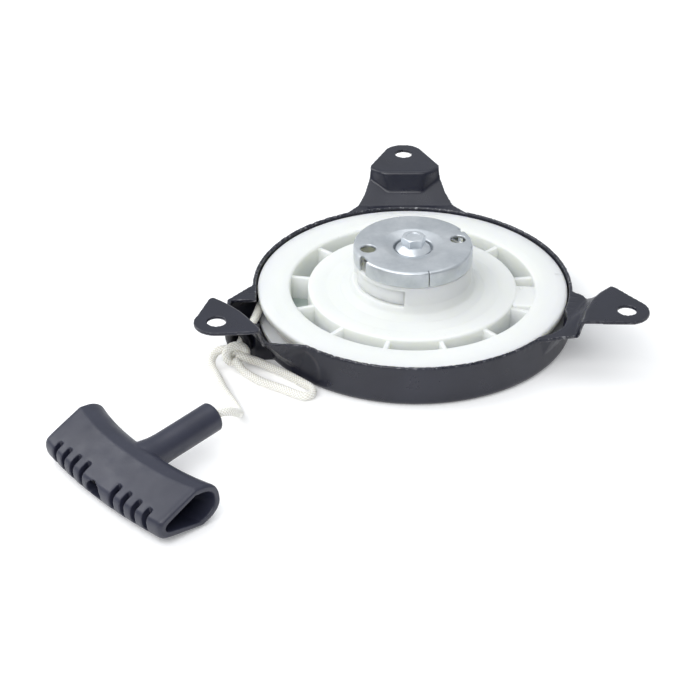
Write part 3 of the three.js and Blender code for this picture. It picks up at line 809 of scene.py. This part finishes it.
# Lines of the steep neck's foot and head, as (r, t), and the foot's height
STEEP_FOOT = [(86.2, -21.6), (83.2, -14.6), (80.3, -7.4), (82.9, 1.5), (84.7, 9.3)]
STEEP_HEAD = [(94.6, -17.9), (93, -12.6), (91.7, -5), (91.1, 3), (91.2, 15.4)]
STEEP_Z = 18.7
STEEP_BEND = 2.2  # length over which the strip bends onto the pad


def smooth_line(points, count):
    line = spline([(*p, 0) for p in points], 0.2)
    return [line[round(i * (len(line) - 1) / (count - 1))] for i in range(count)]


def make_steep_ear():
    """The left ear: its neck is a steep strip from the top of the wall to the pad."""
    foot, head = smooth_line(STEEP_FOOT, 49), smooth_line(STEEP_HEAD, 49)
    rows = []
    for k in range(13):
        z = mix(STEEP_Z, EAR_TOP, k / 14)
        rows.append([(*tuple(a.lerp(b, k / 14))[:2], z) for a, b in zip(foot, head)])
    for k in range(1, 6):  # the bend, which eases over onto the pad
        share = k / 5
        z = mix(mix(STEEP_Z, EAR_TOP, 12 / 14), EAR_TOP, 1 - (1 - share) ** 2)
        ease = [a.lerp(b, 12 / 14) + (b - a).normalized() * (STEEP_BEND * share)
                for a, b in zip(foot, head)]
        rows.append([(p.x, p.y, z) for p in ease])
    neck = sheet_metal("steep_neck", rows)
    inner = [(b.x + 0.2, b.y) for b in head]
    outline = [*inner, (92.6, 16.6), (94.4, 16.4), *pad_tip(EAR_BEND + 2),
               (97.4, -18.2), (95.6, -18.5)]
    pad = prism("steep_pad", outline, EAR_TOP - SHEET, EAR_TOP, BLACK)
    return spun(neck, LEFT), bored(pad, LEFT)


# Rims of the two places where the wall leans out, as (radius, azimuth)
LEFT_RIM = [(81.5, 208.7), (85.6, 212.2), (86, 216), (85.2, 219.7), (HOUSING_R + 0.6, 228.8)]
RIGHT_RIM = [(HOUSING_R + 0.2, 318.5), (77.4, 323.6), (78.7, 328), (79, 331), (77.6, 336),
             (HOUSING_R + 0.2, 342)]


def skirt(points, azimuths, inset, low, high):
    """The wall under an ear, which leans out from its foot to the rim."""
    arc = [polar(HOUSING_R - 0.6 - inset, azimuth, low) for azimuth in azimuths]
    rim = [polar(radius - inset, azimuth, high) for radius, azimuth in points]
    inside = [polar(60, azimuths[0] + 3, z) for z in (high, low)]
    return hull("skirt", [*arc, *rim, *inside], BLACK)


def left_skirt(inset, low, high):
    return skirt(LEFT_RIM, range(206, 230, 3), inset, low, high)


def right_skirt(inset, low, high):
    return skirt(RIGHT_RIM, range(320, 342, 3), inset, low, high)


def dish_profile():
    foot = HOUSING_FOOT_R - HOUSING_FILLET

    def fillet(radius, angles):
        return [(foot + radius * math.sin(math.radians(a)),
                 HOUSING_FILLET - radius * math.cos(math.radians(a))) for a in angles]

    outer = fillet(HOUSING_FILLET, range(0, 91, 10))
    inner = fillet(HOUSING_FILLET - SHEET, range(90, -1, -15))
    rim = [(HOUSING_R, HOUSING_TOP - 0.5), (HOUSING_R - 0.4, HOUSING_TOP),
           (HOUSING_R - 1.2, HOUSING_TOP), (HOUSING_R - SHEET, HOUSING_TOP - 0.5)]
    return [(0, 0), *outer, *rim, *inner, (0, SHEET)]


def at_outlet(made):
    """Turn a piece that was made about +Z so that it lies about the outlet's axis."""
    azimuth = Matrix.Rotation(math.radians(OUTLET_AZIMUTH), 4, "Z")
    level = Matrix.Rotation(math.radians(90), 4, "Y")
    made.data.transform(Matrix.Translation(OUTLET * MM) @ (azimuth @ level))
    return made


EARS_FROM = 22.0  # height above which there is nothing of the housing but its ears
EAR_SPREAD = 24.0  # degrees to either side of an ear over which the rim is less ragged
JAG_DEPTH = 0.55
WAVE_DEPTH = 0.22
MM_PER_DEGREE = 1.29  # along the wall
DENT_AZIMUTH, DENT_Z, DENT_R, DENT_DEPTH = 229, 8.5, 9.5, 0.75


def store_wear(made, start, full):
    """Marks the convex edges, which the paint wears off first, and the ears' edges less."""
    mesh = made.data
    form = bmesh.new()
    form.from_mesh(mesh)
    form.normal_update()
    values = []
    for vertex in form.verts:
        near = [edge.other_vert(vertex).co for edge in vertex.link_edges]
        middle = sum(near, Vector()) / max(1, len(near))
        values.append((vertex.co - middle).dot(vertex.normal) / MM)
    for _ in range(2):
        sums = [sum(values[e.other_vert(v).index] for e in v.link_edges) for v in form.verts]
        values = [0.5 * values[v.index] + 0.5 * sums[v.index] / max(1, len(v.link_edges))
                  for v in form.verts]
    form.free()
    wear = mesh.attributes.new("wear", "FLOAT", "POINT")
    shares = [1.0 if vertex.co.z < EARS_FROM * MM else 0.3 for vertex in mesh.vertices]
    wear.data.foreach_set("value", [share * clamp((value - start) / (full - start))
                                    for share, value in zip(shares, values)])


def rework_wall(made):
    """Ragged rim, and the shallow dent beside the left ear."""
    for vertex in made.data.vertices:
        x, y, z = vertex.co / MM
        radius = math.hypot(x, y)
        azimuth = math.degrees(math.atan2(y, x)) % 360
        sinks = []
        if abs(radius - HOUSING_R) < 2.2 and z > 16:
            jag = noise.noise(Vector((azimuth * 0.55, 3.1, 0)))
            jag += 0.6 * noise.noise(Vector((azimuth * 1.7, 8.2, 0)))
            from_ear = min(abs((azimuth - ear + 180) % 360 - 180) for ear in (BACK, RIGHT))
            share = 0.35 + 0.65 * (1 - smooth(EAR_SPREAD - from_ear))
            vertex.co.z -= JAG_DEPTH * max(0.0, jag) * smooth((z - 17.2) / 2.0) * MM * share
            wave = noise.noise(Vector((azimuth * 0.5, 0.7, z * 0.1)))
            sinks.append(max(0.0, WAVE_DEPTH * wave * smooth((z - 14) / 5)))
        away = math.hypot((azimuth - DENT_AZIMUTH) * MM_PER_DEGREE, z - DENT_Z)
        if radius > 70 and z > 1 and away < DENT_R and not 182 < azimuth < 209:
            sinks.append(DENT_DEPTH * smooth((DENT_R - away) / 3.5))
        for sink in sinks:
            vertex.co.x -= sink * x / radius * MM
            vertex.co.y -= sink * y / radius * MM


def make_housing():
    inner = HOUSING_R - SHEET
    inside = turned("inside", [(0, SHEET), (inner, SHEET + 3), (inner, 40), (0, 40)], BLACK)
    walls = [prism("pocket", POCKET, 0.6, HOUSING_TOP, BLACK), left_skirt(0, 3.5, HOUSING_TOP),
             right_skirt(0, 7, HOUSING_TOP)]
    for wall in walls:
        cut(wall, linked("inside_copy", inside.data.copy()))
    bpy.data.objects.remove(inside)
    dish = turned("dish", dish_profile(), BLACK, 288)
    shell = [dish, *walls, *(make_ear(*ear) for ear in EARS)]
    steep = make_steep_ear()
    for part in shell:
        cut(part, left_skirt(1.9, 3.7, HOUSING_TOP + 0.01))
        cut(part, right_skirt(1.9, 7.2, HOUSING_TOP + 0.3))
        cut(part, prism("pocket_inside", POCKET_INSIDE, 2.2, 25, BLACK))
        cut(part, at_outlet(rod("bore", 4.8, -6, 6, BLACK)))
    shelf = prism("shelf", SHELF, HOUSING_TOP - SHEET, HOUSING_TOP, BLACK)
    housing = joined("housing_shell", [*shell, *steep, shelf])
    remesh(housing, 0.5, smoothing=3)
    rework_wall(housing)
    store_wear(housing, 0.035, 0.07)
    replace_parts(housing, "housing")
    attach(housing, "frame")

    profile = rounded(
        [(3, -3.2), (4.4, -3.2), (4.4, 1.3), (7, 1.3), (7.1, 2.6), (5.2, 3.2), (3, 3.2)],
        [0, 0, 0, 0.3, 0.6, 1.0, 0.9])
    bush = at_outlet(turned("outlet_bush_ring", profile, BUSH, 96))
    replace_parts(bush, "outlet_bush")
    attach(bush, "frame")


make_housing()


# ---------------- reel
RIBS = (10, 43, 140, 170, 200, 228, 256, 284, 311, 338)
ANCHOR_AZIMUTH = 354.0  # block that holds the rope's inner end
SLOTS = (140, 320)  # the tower's slots for the pawls
NICK_AZIMUTH = 7.8


def make_reel():
    rim = turned("reel_moulding", rounded(
        [(REEL_WINDOW_R, 3.8), (REEL_R - 0.4, 3.8), (REEL_R - 0.4, 5.8), (62.4, 6.4),
         (62.4, 13.8), (REEL_R - 0.6, 14.6), (REEL_R, 18.3), (67, REEL_TOP + 0.05),
         (61, REEL_TOP), (REEL_WINDOW_R, 18.2)],
        [0.4, 0.5, 0.5, 1, 1, 0.5, 1.5, 3, 3, 1.4]), NYLON, 256)
    web = turned("web", rounded(
        [(7.3, 12), (45.8, 12), (45.8, 3.8), (DISC_R, 3.8), (DISC_R, 17.9), (40, 17.2), (33, 17.6),
         (28.6, 19.4), (TOWER_R, 23), (TOWER_R, TOWER_TOP), (24.2, TOWER_TOP), (24.2, 20.4),
         (11.5, 20.4), (11.5, 31), (7.3, 31)],
        [0, 0.4, 0.3, 0.3, 1.3, 5, 3, 2, 2, 0.5, 0.5, 0.8, 0.8, 0.5, 0.3]), NYLON, 224)
    cut(rim, web, operation="UNION")
    for azimuth in RIBS:
        rib = block("rib", (DISC_R - 1, REEL_WINDOW_R + 1), (-1.1, 1.1), (5, 16.6), NYLON)
        cut(rim, spun(round_edges(rib, 0.5), azimuth), operation="UNION")
    anchor = block("anchor", (DISC_R - 1.5, REEL_WINDOW_R + 1), (-12, 6), (5, 17.3), NYLON)
    cut(rim, spun(round_edges(anchor, 0.7), ANCHOR_AZIMUTH), operation="UNION")
    mark = block("mark", (DISC_R + 1, DISC_R + 2.6), (2.2, 4.4), (16.7, 20), NYLON)
    cut(rim, spun(mark, ANCHOR_AZIMUTH))
    socket = block("socket", (DISC_R + 0.6, REEL_WINDOW_R + 12), (-4, 4), (6.8, 13.4), NYLON)
    cut(rim, spun(socket, ANCHOR_AZIMUTH))
    for azimuth in SLOTS:
        slot = prism("slot", [(0, 14), (40, 14), (40, 32), (-14, 32), (-14, 14)], 22, 30, NYLON)
        reach = turned("reach", [(23, 19), (33, 19), (33, 40), (23, 40)], NYLON, 96)
        cut(slot, reach, operation="INTERSECT")
        cut(rim, spun(slot, azimuth))
    nick = prism("nick", [(67, 0), (72.5, -0.45), (72.5, 0.45)], 17.6, 20, NYLON)
    cut(rim, spun(nick, NICK_AZIMUTH))
    round_edges(rim, 0.25, 2, 40)
    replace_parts(rim, "reel")
    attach(rim, "reel")

    turns = []
    for k in range(109):  # three turns
        radius, z = mix(65.1, 66.8, smooth(k / 108)), mix(8.9, 11.4, k / 108)
        turns.append(polar(radius, 180 + 10 * k, z))
    coil, _ = rope_tube("rope_coil", turns, step=1.6, sides=16)
    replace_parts(coil, "rope_winding")
    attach(coil, "reel")


make_reel()


# ---------------- pawls
PAWL_PIN = (18.0, 172.0)  # distance and direction of the front pawl's pin
PAWL_INSIDE = [
    (22.4, 258), (22.4, 246), (22.4, 236), (22.4, 226), (22, 216), (19.5, 208), (15.5, 196),
    (13.9, 184), (14, 172), (15.4, 160), (18, 157), (21.4, 161), (22.6, 170), (22.6, 180),
    (23, 187),
]


def make_pawls():
    """Both pawls, alike, the back one turned half round."""
    for name, body, turn in (("front", "pawl_a", 0), ("back", "pawl_b", 180)):
        outside = [(25.9, azimuth) for azimuth in range(192, 262, 3)]
        outline = [polar(*point).xy for point in outside + PAWL_INSIDE]
        pawl = prism(f"pawl_{name}_moulding", outline, 22.3, 29.2, NYLON)
        cut(pawl, moved(rod("eye", 2.4, 10, 60, NYLON), *polar(*PAWL_PIN)))
        round_edges(pawl, 0.35, 2, 40)
        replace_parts(spun(pawl, turn), f"pawl_{name}")
        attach(pawl, body)


make_pawls()


# ---------------- ratchet guide and bolt
# Directions of what is cut into the guide; the notches run from one azimuth to another
GUIDE_HOLES = (12.5, 192.5)
GUIDE_NOTCHES = ((206, 217.5), (27, 35))
GUIDE_SLITS = (104, 284)
GUIDE_RELIEFS = (172, 354)


def make_guide():
    under = GUIDE_TOP - GUIDE_SHEET
    foot = GUIDE_TOP - GUIDE_SKIRT
    inner = GUIDE_R - GUIDE_SHEET
    profile = rounded(
        [(5.4, 35), (5.4, 33.8), (10.2, 33.8), (10.2, 36.8), (14.4, under), (inner, under),
         (inner, foot), (GUIDE_R, foot), (GUIDE_R, GUIDE_TOP), (14.2, GUIDE_TOP), (9, 38.1),
         (9, 35)],
        [0, 0, 0.8, 0.8, 2, 0.4, 0.2, 0.2, 1.5, 3.2, 0.9, 0.4])
    guide = turned("guide_cup", profile, ZINC, 224)
    opening = [(0, 30), (3.5, 30), (3.5, 39.2), (3.9, 39.8), (3.9, 50), (0, 50)]
    for azimuth in GUIDE_HOLES:
        cut(guide, spun(moved(turned("hole", opening, ZINC, 64), 21.1, 0, 0), azimuth))
    for start, end in GUIDE_NOTCHES:
        half = GUIDE_R * math.radians(end - start) / 2
        notch = block("notch", (25.2, 30), (-half, half), (30, 50), ZINC)
        cut(guide, spun(notch, (start + end) / 2))
    for azimuth in GUIDE_SLITS:
        cut(guide, spun(block("slit", (25, 30), (-0.22, 0.22), (30, 40), ZINC), azimuth))
    for azimuth in GUIDE_RELIEFS:
        cut(guide, spun(moved(rod("relief", 0.9, 36, 50, ZINC, 24), 27.1, 0, 0), azimuth))
    round_edges(guide, 0.14, 2, 40)
    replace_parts(guide, "ratchet_guide")
    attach(guide, "guide")

    bolt = turned("bolt_flange", rounded(
        [(0, 14), (3, 14), (3, 35.3), (7.9, 35.3), (8.1, 37.3), (7.4, 38), (5.5, 39.7), (0, 40.2)],
        [0, 0.3, 0, 0.3, 0.5, 0.7, 0.8, 0]), BOLT_ZINC, 96)
    corners = [polar(BOLT_FLATS / math.sqrt(3), 60 * i + 10).xy for i in range(6)]
    head = round_edges(prism("head", corners, 36, BOLT_TOP, BOLT_ZINC), 0.35, 3)
    crown = turned("crown", rounded([(0, 34), (8, 34), (8, 41.8), (4.75, BOLT_TOP), (0, BOLT_TOP)],
                                    [0, 0, 0.6, 0.9, 0]), BOLT_ZINC, 96)
    cut(head, crown, operation="INTERSECT")
    recess = [(0, BOLT_TOP - 0.35), (3.2, BOLT_TOP - 0.3), (3.9, BOLT_TOP + 1), (0, BOLT_TOP + 1)]
    cut(head, turned("recess", recess, BOLT_ZINC, 64))
    cut(bolt, head, operation="UNION")
    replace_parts(bolt, "center_bolt")
    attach(bolt, "frame")


make_guide()


# ---------------- handle
HANDLE_AT = Vector((-117.8, -136.2, 9.95))
HANDLE_YAW = -48.0
HANDLE_TILT = 8.0
STEM_AT = -1.2
STEM_END = 45.0


def grip_section(x, inset):
    """Outline across the grip, as (y, z): flat faces that open toward a rounded back."""
    share = abs(x) / (HANDLE_LENGTH / 2)
    tip = -18.3 + 3 * share**2 + inset
    back = 10.8 + 5 * share**2.4 - inset
    ridge = back - 10.5 + inset * 0.6
    thin, thick = 4.8 - inset * 0.9, 10.0 - inset
    upper = [(tip, thin * 0.35), (tip + 0.8, thin * 0.8), (tip + 2.4, thin + 0.3),
             (ridge - 0.9, thick - 0.25), (ridge, thick), (ridge + 0.9, thick - 0.35),
             (ridge + (back - ridge) * 0.5, thick * 0.86),
             (ridge + (back - ridge) * 0.84, thick * 0.6), (back, thick * 0.28)]
    corners = upper + [(y, -z) for y, z in reversed(upper)]
    for _ in range(3):  # each round cuts every corner at a quarter of its sides
        corners = [(mix(a[0], b[0], share), mix(a[1], b[1], share))
                   for a, b in zip(corners, corners[1:] + corners[:1]) for share in (0.25, 0.75)]
    return corners


def grip_loft(name, inset, reach, crown=0.0):
    """The grip's solid out to a reach on both sides. A crown draws its section in at the ends."""
    rings = []
    stations = 64
    for i in range(stations + 1):
        x = reach * (2 * i / stations - 1)
        edge = smooth((abs(x) - (HANDLE_LENGTH / 2 - 1.6)) / 1.6) * crown
        rings.append([(x, y, z) for y, z in grip_section(x, inset + edge)])
    count = len(rings[0])
    last = stations * count
    faces = [[a + j, a + count + j, a + count + (j + 1) % count, a + (j + 1) % count]
             for a in range(0, last, count) for j in range(count)]
    faces += [list(reversed(range(count))), list(range(last, last + count))]
    return make_object(name, [p for ring in rings for p in ring], faces, PLASTIC)


def along_stem(made):
    """Turn a piece that was made about +Z so that it lies along the stem."""
    tip = Matrix.Rotation(math.radians(-90), 4, "X")
    made.data.transform(Matrix.Translation(Vector((STEM_AT, 0, 0)) * MM) @ tip)
    return made


def make_handle():
    grip = grip_loft("handle_moulding", 0, HANDLE_LENGTH / 2, crown=0.9)
    stem = [(0, 0), (STEM_R + 1.4, 0), (STEM_R + 1.4, 8), (STEM_R + 0.9, 11), (STEM_R + 0.3, 14),
            (STEM_R, 18), (STEM_R, STEM_END - 0.9), (STEM_R - 0.9, STEM_END), (0, STEM_END)]
    cut(grip, along_stem(turned("stem", stem, PLASTIC, 96)), operation="UNION")
    cut(grip, grip_loft("hollow", HANDLE_WALL, HANDLE_LENGTH / 2 + 1))
    cut(grip, along_stem(rod("bore", 2.35, 0, STEM_END + 1, PLASTIC)))
    for i in range(4):
        for side in (-1, 1):
            x = side * (10.5 + 6.6 * i)
            cut(grip, block("slot", (x - 1.3, x + 1.3), (-22, -11.6), (-3.6, 9.6), PLASTIC))
    angles = [math.radians(a) for a in range(0, 181, 12)]
    arch = [(4.7 * math.cos(a) - 1.5, 4.7 * math.sin(a) - 0.4) for a in angles]
    window = prism("window", [*arch, (-6.2, -3.6), (3.2, -3.6)], 0, 12, PLASTIC)
    tip = Matrix.Rotation(math.radians(90), 4, "X")
    window.data.transform(Matrix.Translation(Vector((0, -10, 0)) * MM) @ tip)
    cut(grip, window)
    remesh(grip, 0.42, smoothing=4)
    yaw = Matrix.Rotation(math.radians(HANDLE_YAW), 4, "Z")
    tilt = Matrix.Rotation(math.radians(HANDLE_TILT), 4, "X")
    grip.data.transform(Matrix.Translation(HANDLE_AT * MM) @ (yaw @ tilt))
    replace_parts(grip, "handle")
    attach(grip, "pull")


make_handle()


# ---------------- pieces that keep their CAD shape
def dress(material, *names):
    for name in names:
        node = bpy.data.objects[name]
        node.data.materials.clear()
        node.data.materials.append(material)


dress(GALVANISED, "spring_plate")
dress(STEEL, "center_post", "guide_collar", "friction_spring", "pawl_pin_front", "pawl_pin_back")
dress(SPRING, "recoil_spring", "spring_inner_hook", "pawl_spring_front", "pawl_spring_back")
dress(ZINC, "thrust_washer", "handle_washer")
dress(ROPE, "rope_anchor_knot", "handle_knot")


# ---------------- stage
SKY_STRENGTH = 0.75
FRONT_SHADE = 0.2  # of the sky at the front, as a share of the rest
KEY_POWER, TOP_POWER, SIDE_POWER = 8, 2.5, 3.5  # watts
FLOOR_GLOW = 0.19


def make_floor():
    paper = Finish("floor_paper", roughness=0.6, specular=0.2)
    tones = [(0.3, (0.86, 0.86, 0.86)), (0.7, (0.87, 0.87, 0.87))]
    paper.color(paper.ramp(paper.noise(3, 2), tones))
    paper.shader.inputs["Emission Color"].default_value = (0.98, 0.985, 1.0, 1)
    paper.shader.inputs["Emission Strength"].default_value = FLOOR_GLOW
    corners = [(-4000, -3000, 0), (4000, -3000, 0), (4000, 5000, 0), (-4000, 5000, 0)]
    floor = make_object("floor", corners, [[0, 1, 2, 3]], paper.material)
    if floor.data.polygons[0].normal.z < 0:
        floor.data.flip_normals()


def area_light(name, place, target, size, power):
    data = bpy.data.lights.new(name, "AREA")
    data.shape = "RECTANGLE"
    data.size, data.size_y = size
    data.energy = power
    lamp = linked(name, data)
    lamp.location = place
    lamp.rotation_euler = (Vector(target) - Vector(place)).to_track_quat("-Z", "Y").to_euler()


def make_light():
    """A pale sky that darkens toward the ground and the front, and three soft lamps."""
    world = bpy.data.worlds.new("studio")
    bpy.context.scene.world = world
    world.use_nodes = True
    tree = world.node_tree
    place = tree.nodes.new("ShaderNodeTexCoord")
    split = tree.nodes.new("ShaderNodeSeparateXYZ")
    tree.links.new(place.outputs["Generated"], split.inputs["Vector"])
    product, strength = (tree.nodes.new("ShaderNodeMath") for _ in range(2))
    product.operation = strength.operation = "MULTIPLY"
    shades = (("Z", -0.1, 0.9, 0.62), ("Y", -0.85, -0.2, FRONT_SHADE))
    for factor, (axis, low, high, dark) in zip(product.inputs, shades):
        level = tree.nodes.new("ShaderNodeMapRange")
        values = {"From Min": low, "From Max": high, "To Min": dark, "To Max": 1.0}
        for key, value in values.items():
            level.inputs[key].default_value = value
        tree.links.new(split.outputs[axis], level.inputs["Value"])
        tree.links.new(level.outputs["Result"], factor)
    tree.links.new(product.outputs["Value"], strength.inputs[0])
    strength.inputs[1].default_value = SKY_STRENGTH
    sky = tree.nodes["Background"]
    sky.inputs["Color"].default_value = (0.93, 0.965, 1.0, 1)
    tree.links.new(strength.outputs["Value"], sky.inputs["Strength"])
    area_light("softbox_key", (-0.3, -0.75, 0.8), (-0.04, -0.02, 0), (0.9, 0.6), KEY_POWER)
    area_light("softbox_top", (-0.1, 0.15, 1.0), (-0.04, -0.02, 0), (1.0, 0.8), TOP_POWER)
    area_light("softbox_side", (-0.85, 0.15, 0.7), (-0.04, 0, 0), (0.6, 0.5), SIDE_POWER)
    bpy.context.scene.view_settings.view_transform = "Standard"


make_floor()
make_light()
